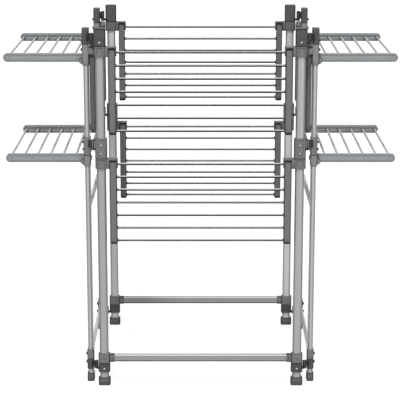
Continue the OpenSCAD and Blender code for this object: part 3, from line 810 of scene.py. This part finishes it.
endStyle = {
    "TopCaps": ("top_connectors", "cap", "dark_plastic"),
    "MidSleeves": ("mid_connectors", "joint", "dark_plastic"),
    "LowSleeves": ("bottom_connectors", "dark", "dark_plastic"),
    "Tees": ("crossbar_tees", "joint", "grey_plastic"),
    "FlapBrackets": ("flap_brackets", "grey", "grey_plastic"),
    "FootCups": ("feet", "foot", "foot"),
    "Rivets": ("fasteners", "rivet", "fastener"),
}
for part, shells in endShells().items():
    node, look, slot = endStyle[part]
    for word, sy in (("front", 1), ("rear", -1)):
        both = [mirrored(s, sx, sy) for s in shells for sx in (1, -1)]
        # the rear frame's flap brackets take the darker copy of the grey: painted shade
        tone = "rearGrey" if (word, look) == ("rear", "grey") else look
        makePiece(word + part, both, finish[tone], f"{word}_frame", f"{word}_{node}")
print("front and rear frames dressed")


# The side frames' measures, read from the right frame's front corner.
sideTopZ, sideMidZ, sideLowZ = [uprightOf(f"right_{part}_connectors") for part in ("top", "mid", "bottom")]
sideFootHigh = boxOf("right_feet")[1]
wingUp, wingLow = boxOf("right_upper_wing_rails"), boxOf("right_lower_wing_rails")
innerRails = boxOf("right_inner_flap_rails")
wingRailIn = wingUp[1][1] - railW
innerX = (innerRails[0][0] + innerRails[1][0]) / 2
innerT = innerRails[1][0] - innerRails[0][0]
innerRailOut, innerRailIn = innerRails[1][1], innerRails[1][1] - railW
sideBack = sideFront + rack["sideSleeveT"]  # rear face of a side sleeve
sideRivetZ = [sideTopZ[0] + 10.5, sideTopZ[0] - 16, midZ[0] + 18, midZ[0] + 39, lowZ[0] + 16, barZ]


# Connectors of the side frames, drawn for the right frame's front corner.
sideSleeve = {
    "corner": 3, "edge": 1.0, "boreFit": 0.1, "roof": 6,
    "topPanel": {"half": 10, "foot": 4, "head": 14, "depth": 0.4, "ramp": 0.4},
    "midPanel": {"half": 10, "foot": 5, "head": 5, "depth": 0.5, "ramp": 0.4},
    "lowPanel": {"half": 10, "foot": 4, "head": 4, "depth": 0.4, "ramp": 0.4},
}
sideCentre = ((rack["sideIn"] + rack["sideOut"]) / 2, rack["sideY"])
sideBore = (rack["sideW"] + sideSleeve["boreFit"], rack["sideT"] + sideSleeve["boreFit"])
boreShift = rack["sideX"] - sideCentre[0]  # the tube sits nearer the inner wall


def sideSleeveShell(z0, z1, panel=None, ceiling=None):
    w, t, r = rack["sideOut"] - rack["sideIn"], rack["sideSleeveT"], sideSleeve["corner"]
    pockets = [pocket(outward, panel, z0, z1)] if panel else []
    more = {"rings": 3, "ceiling": ceiling, "shift": boreShift}
    return sleeve(sideCentre, w, t, r, z0, z1, sideBore, sideSleeve["edge"], pockets, **more)


wing = {
    "pivotBelow": 7, "pivotIn": 23,
    "sleeveBelow": 10.4, "sleeveOver": 0.5,
    "panel": {"half": 9, "foot": 22, "head": 3.5, "depth": 0.4, "ramp": 0.4},
    "bossR": 9, "bossL": 14,
    "bossFoot": [(0, 1), (1, 0), (3, 0), (3.4, 0.4), (4, 0.4), (4.4, 0)],  # height and inset, with a groove
    "webIn": 0.3, "webFront": 0.5, "webBack": 0.2,
    "gap": 0.4, "stopT": 5, "stopL": 11, "stopBack": 5, "stopInto": 2,
}
pivotX = wingUp[0][0] + wing["pivotIn"]
pivotUp = wingUp[0][2] + railT / 2 - wing["pivotBelow"]
pivotLow = wingLow[0][2] + railT / 2 - wing["pivotBelow"]


def wingBossShells(z):
    # the boss that carries a wing's pin, its web to the sleeve, and the ledge under the raised rail
    r, length = wing["bossR"], wing["bossL"]
    y0, tall = sideBack - length, r - wing["webIn"]
    boss = turned(profileOf(r, wing["bossFoot"] + [(length - 1, 0), (length, 1)]))
    low = (rack["sideX"], y0 + wing["webFront"], z - tall)
    web = block(low, (pivotX, sideBack - wing["webBack"], z + tall), 1, 0.8)
    x0, z1 = rack["sideX"] - wing["stopBack"], z + wing["pivotBelow"] - railT / 2 - wing["gap"]
    low, reach = (x0, sideBack - wing["stopInto"], z1 - wing["stopT"]), wing["stopL"]
    stop = block(low, (x0 + reach, sideBack + reach, z1), 1.2, 0.8)
    return [layAlong(boss, "y", (pivotX, y0, z)), web, stop]


ear = {
    "thick": 6, "gap": 0.4, "over": 0.8, "roof": 4, "below": 10, "into": 2, "corner": 1.5, "edge": 0.9,
    "ribFrom": (0.5, 0.4, -1), "ribTo": (0, -0.6, -1.2),
    "nubR": 5.4, "nubOut": 0.6, "nub": [(0, 0), (0.8, 0.4)],  # height and inset
}


def innerEarShells():
    # an ear beside the inner flap's rail, a roof over it, a rib up to the top lug, and the axle's nub
    x0, x1 = innerX - innerT / 2, rack["sideIn"] + ear["into"]
    y1 = -innerRailOut - ear["gap"]
    y0, low = y1 - ear["thick"], axleUp + innerT / 2 + ear["over"]
    high, rounding = low + ear["roof"], (ear["corner"], ear["edge"])
    plate = block((x0, y0, axleUp - ear["below"]), (x1, y1, high), *rounding)
    roof = block((x0, y0, low), (x1, y1 + railW, high), *rounding)
    ribLow, ribHigh = np.add((x0, y0, high), ear["ribFrom"]), np.add((x1, y1, lugZ["top"]), ear["ribTo"])
    rib = block(ribLow, ribHigh, *rounding)
    nub = turned(profileOf(ear["nubR"], ear["nub"]))
    return [plate, roof, rib, layAlong(nub, "y", (innerX, y0 - ear["nubOut"], axleUp))]


def sideTeeShells(z0, z1):
    socket = socketShell(sideBack - tee["sideInto"], sideBack + tee["socket"])
    return [sideSleeveShell(z0, z1), laid(socket, (1, 2, 0), (1, 1, -1), (rack["sideX"], 0, barZ))]


def wingBracketShells():
    below, over = wing["sleeveBelow"], wing["sleeveOver"]
    up = sideSleeveShell(pivotUp - below, sideTopZ[0] - over, wing["panel"])
    low = sideSleeveShell(pivotLow - below, sideMidZ[0] - over)
    return [up, low] + wingBossShells(pivotUp) + wingBossShells(pivotLow) + innerEarShells()


wingPin = {"r": 3, "headR": 4.6, "headWall": 0.4, "dome": 1.2, "sunk": 0.1}


def wingPinShell(z):
    # a shank through boss and rail under a domed head, which is sunk a little in the rail
    end, r, headR = -wingRailIn - wingPin["sunk"], wingPin["r"], wingPin["headR"]
    start = -wingRailIn - railW - wing["bossL"]
    profile = [(start, 0), (start, r), (end, r), (end, headR)]
    profile += domeRows(end + wingPin["headWall"], headR, wingPin["dome"], 4)
    return layAlong(turned(profile), "y", (pivotX, 0, z))


def sideShells():
    footW, footT = 2 * (sideFootHigh[0] - sideCentre[0]), 2 * (sideFootHigh[1] + rack["sideY"])
    cap = sideSleeveShell(*sideTopZ, sideSleeve["topPanel"], sideTopZ[1] - sideSleeve["roof"])
    mid = sideSleeveShell(*sideMidZ, sideSleeve["midPanel"])
    low = sideSleeveShell(*sideLowZ, sideSleeve["lowPanel"])
    head = (rivet["sideHeadR"], rivet["sideHead"])
    rivets = [rivetShell((rack["sideOut"], rack["sideY"], z), "x", 1, *head) for z in sideRivetZ]
    return {
        "TopCaps": [cap] + barrelShells("top"),
        "MidSleeves": [mid] + barrelShells("mid"),
        "LowSleeves": [low] + barrelShells("low"),
        "Tees": sideTeeShells(sideTeeLow[2], sideTeeHigh[2]),
        "WingBrackets": wingBracketShells(),
        "FootCups": [footShell(sideCentre, footW, footT, sideBore, sideFootHigh[2], foot["sideCorner"])],
        "Rivets": rivets + [wingPinShell(z) for z in (pivotUp, pivotLow)],
    }


sideStyle = {
    **endStyle,
    "WingBrackets": ("wing_brackets", "sideGrey", "grey_plastic"),
    # the side frames' rivets and wing pins take the near black copy: painted shade
    "Rivets": ("fasteners", "shadedRivet", "fastener"),
}
for part, shells in sideShells().items():
    node, look, slot = sideStyle[part]
    for word, sx in (("left", -1), ("right", 1)):
        both = [mirrored(s, sx, sy) for s in shells for sy in (1, -1)]
        makePiece(word + part, both, finish[look], f"{word}_frame", f"{word}_{node}")
print("side frames dressed")


# Rails: a long plate with full-round ends. Its outer face is a cover set in a groove, its inner face
# is a tray with a racetrack rib, and each rod enters through a collar.
rail = {
    "rods": 7, "pitch": 37.5,
    "edge": 2.6, "rim": 2.0, "slope": 0.3, "faceEdge": 0.5,
    "tray": 2.4, "ribDrop": 0.5, "ribFrom": 0.72, "ribTo": 0.60,
    "groove": 0.9, "grooveTo": 0.9, "coverFrom": 1.3, "coverEdge": 2, "coverIn": 0.1,
    "collarIn": 0.3, "collarFit": 0.05,
    "axleCollar": {"r": 5.0, "tall": 0.4, "tipR": 4.2},
    "rodCollar": {"r": 5.3, "tall": 3.4, "tipR": rodR + 0.6},
    "tipR": 7.4,
    "tipRing": [(-0.5, 1.6), (-0.5, 0), (0.3, 0.4), (0.3, 1.2)],  # height over the cover, and inset
}


def railRows(length, thick):
    # from the middle line of the inner face, out over the tray, round the wall, and in over the cover;
    # every row is the rail's outline drawn in by an inset, and the edges are quarter circles
    half, edge, slope, tray = thick / 2, rail["edge"], rail["slope"], rail["tray"]
    lip, rib0, rib1, drop = edge + rail["rim"], rail["ribTo"] * half, rail["ribFrom"] * half, rail["ribDrop"]
    a, face = np.linspace(0, math.pi / 2, 7), edge + rail["faceEdge"]
    bend = [(edge * (1 - math.sin(i)), edge * (1 - math.cos(i))) for i in a]
    inner = [(tray, half), (tray, rib1 + slope), (drop, rib1), (drop, rib0), (tray, rib0 - slope)]
    inner += [(tray, lip + slope), (0, lip), (0, face)] + bend[::-1]
    bottom, cover = railW - rail["groove"], railW - rail["coverIn"]
    outer = [(railW - h, i) for h, i in bend] + [(railW, face), (railW, lip)]
    outer += [(bottom, lip + slope), (bottom, lip + rail["grooveTo"]), (cover, lip + rail["coverFrom"])]
    outer += [(cover, lip + rail["coverEdge"]), (cover, half)]
    return [(h, length - 2 * i, thick - 2 * i, half - i) for h, i in inner + outer]


def railShells(thick):
    # own x runs along the rail from its first rod, own y through its thickness, own z from the inner
    # face outwards
    last = (rail["rods"] - 1) * rail["pitch"]
    shells = [loft(railRows(last + thick, thick), boxyKeys(corner=9, across=12), (last / 2, 0))]
    sunk, hole = rail["tray"] + rail["collarIn"], rodR + rail["collarFit"]
    for k in range(rail["rods"]):
        # the first rod is the axle and has a flat collar, the others have a long tapered one
        look = rail["axleCollar"] if k == 0 else rail["rodCollar"]
        r, tip = look["r"], -look["tall"]
        collar = [(sunk, hole), (sunk, r), (0.1, r), (tip, look["tipR"]), (tip, hole)]
        shells.append(turned(collar, (k * rail["pitch"], 0), loop=True, steps=5))
    tipR = rail["tipR"] * thick / railT
    ring = [(railW + h, tipR - i) for h, i in rail["tipRing"]]
    return shells + [turned(ring, (last, 0), loop=True, steps=8)]


def hung(shells, order, place):
    # rails that hang: their own x points down, and order says which own axis lies along x, y and z
    return [laid(s, order, (1, 1, -1), place) for s in shells]


def dressRails(body, look, shells, corners):
    # one piece for a flap's two rails, each mirrored to its own corner
    both = [mirrored(s, sx, sy) for sx, sy in corners for s in shells]
    side, *rest = body.split("_")
    name = side + "".join(word.capitalize() for word in rest) + "Rails"
    makePiece(name, both, finish[look], body, f"{body}_rails")


wide, slim = railShells(railT), railShells(innerT)
# the rear and inner flaps' rails take the darker copy of the hanging rail's plastic: painted shade
for tier, axleZ in (("upper", axleUp), ("lower", axleLow)):
    flap = hung(wide, (2, 1, 0), (railIn, rack["postY"], axleZ))
    dressRails(f"front_{tier}_flap", "hangingRail", flap, [(1, 1), (-1, 1)])
    dressRails(f"rear_{tier}_flap", "shadedRail", flap, [(1, -1), (-1, -1)])
for tier, pivotZ in (("upper", pivotUp), ("lower", pivotLow)):
    place = (wingUp[0][0] + railT / 2, wingRailIn, pivotZ + wing["pivotBelow"])
    raised = [laid(s, (0, 2, 1), (1, 1, 1), place) for s in wide]
    for word, sx in (("left", -1), ("right", 1)):
        dressRails(f"{word}_{tier}_wing", "wingRail", raised, [(sx, 1), (sx, -1)])
inner = hung(slim, (1, 2, 0), (innerX, innerRailIn, axleUp))
for word, sx in (("left", -1), ("right", 1)):
    dressRails(f"{word}_inner_flap", "shadedRail", inner, [(sx, 1), (sx, -1)])
print("rails made")


# The frame's own tubes and rods keep their shape and take a drawn metal finish.
def tubeFinish(node):
    if node.endswith("_post"):
        return {"front": "postTube", "rear": "rearTube"}.get(node.split("_")[0], "sideTube")
    crosswise = node.startswith(("front", "rear"))
    kind = "rod" if node.endswith("_rods") else "bar"
    return kind + ("X" if crosswise else "Y")


for node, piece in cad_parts.items():
    if node.endswith(("_post", "_crossbar", "_crossbars", "_rods")):
        piece.data.materials.clear()
        piece.data.materials.append(finish[tubeFinish(node)])
print("tubes and rods finished")


# A pale studio: a soft box in front, two suns before and one behind, and a white floor that keeps
# a faint shadow. The soft box falls off with distance, so the rear frame is a little darker.
studio = {
    "ambient": 0.14,
    "suns": [("keySun", 3.00, 58, -12, 8), ("fillSun", 0.55, 20, 28, 20), ("backSun", 1.50, 50, 168, 20)],
    "box": {"watts": 6, "back": 2500, "height": 1450, "wide": 1500, "tall": 900, "tilt": 75},
    "floor": {"metres": 30, "matt": 0.20, "faint": 0.22, "glow": 0.86},
}


def addLight(name, kind, energy, turn, place=(0, 0, 0)):
    data = bpy.data.lights.new(name, kind)
    data.energy = energy
    lamp = bpy.data.objects.new(name, data)
    lamp.location = place
    lamp.rotation_euler = [math.radians(a) for a in turn]
    scene.collection.objects.link(lamp)
    return data


for name, strength, elevation, azimuth, softness in studio["suns"]:
    sun = addLight(name, "SUN", strength, (90 - elevation, 0, azimuth))
    sun.angle = math.radians(softness)
box = studio["box"]
place = (0, -box["back"] * mm, box["height"] * mm)
softBox = addLight("softBox", "AREA", box["watts"], (box["tilt"], 0, 0), place)
softBox.shape = "RECTANGLE"
softBox.size, softBox.size_y = box["wide"] * mm, box["tall"] * mm


def emptied(owner):
    owner.use_nodes = True
    for node in list(owner.node_tree.nodes):
        owner.node_tree.nodes.remove(node)
    return owner.node_tree


def addShader(tree, kind, grey, strength=None):
    node = tree.nodes.new("ShaderNode" + kind)
    node.inputs["Color"].default_value = (grey, grey, grey, 1)
    if strength is not None:
        node.inputs["Strength"].default_value = strength
    return node.outputs[0]


def showDirectly(tree, hidden, seen, kind):
    # seen is what the camera, a mirror or glass meets, hidden is what plain light meets
    path = tree.nodes.new("ShaderNodeLightPath")
    direct = addMath(tree, "MAXIMUM", path.outputs["Is Camera Ray"], path.outputs["Is Glossy Ray"])
    direct = addMath(tree, "MAXIMUM", direct, path.outputs["Is Transmission Ray"])
    choose, out = tree.nodes.new("ShaderNodeMixShader"), tree.nodes.new("ShaderNodeOutput" + kind)
    for socket, value in zip(choose.inputs, (direct, hidden, seen)):
        tree.links.new(value, socket)
    tree.links.new(choose.outputs[0], out.inputs["Surface"])


world = bpy.data.worlds.new("studio")
scene.world = world
sky = emptied(world)
dim = addShader(sky, "Background", 1, studio["ambient"])
showDirectly(sky, dim, addShader(sky, "Background", 1, 1.0), "World")

half = studio["floor"]["metres"] / 2
floorMesh = bpy.data.meshes.new("floor")
corners = [(-half, -half, 0), (half, -half, 0), (half, half, 0), (-half, half, 0)]
floorMesh.from_pydata(corners, [], [(0, 1, 2, 3)])
floor = bpy.data.objects.new("floor", floorMesh)
scene.collection.objects.link(floor)
floor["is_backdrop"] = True
paint = bpy.data.materials.new("paleFloor")
tree = emptied(paint)
lit = tree.nodes.new("ShaderNodeAddShader")
tree.links.new(addShader(tree, "BsdfDiffuse", studio["floor"]["faint"]), lit.inputs[0])
tree.links.new(addShader(tree, "Emission", 1, studio["floor"]["glow"]), lit.inputs[1])
showDirectly(tree, addShader(tree, "BsdfDiffuse", studio["floor"]["matt"]), lit.outputs[0], "Material")
floorMesh.materials.append(paint)
scene.view_settings.view_transform = "Standard"
print("studio lit")

low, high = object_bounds()
{"cad": [list(cadLow), list(cadHigh)], "visual": [list(low), list(high)]}
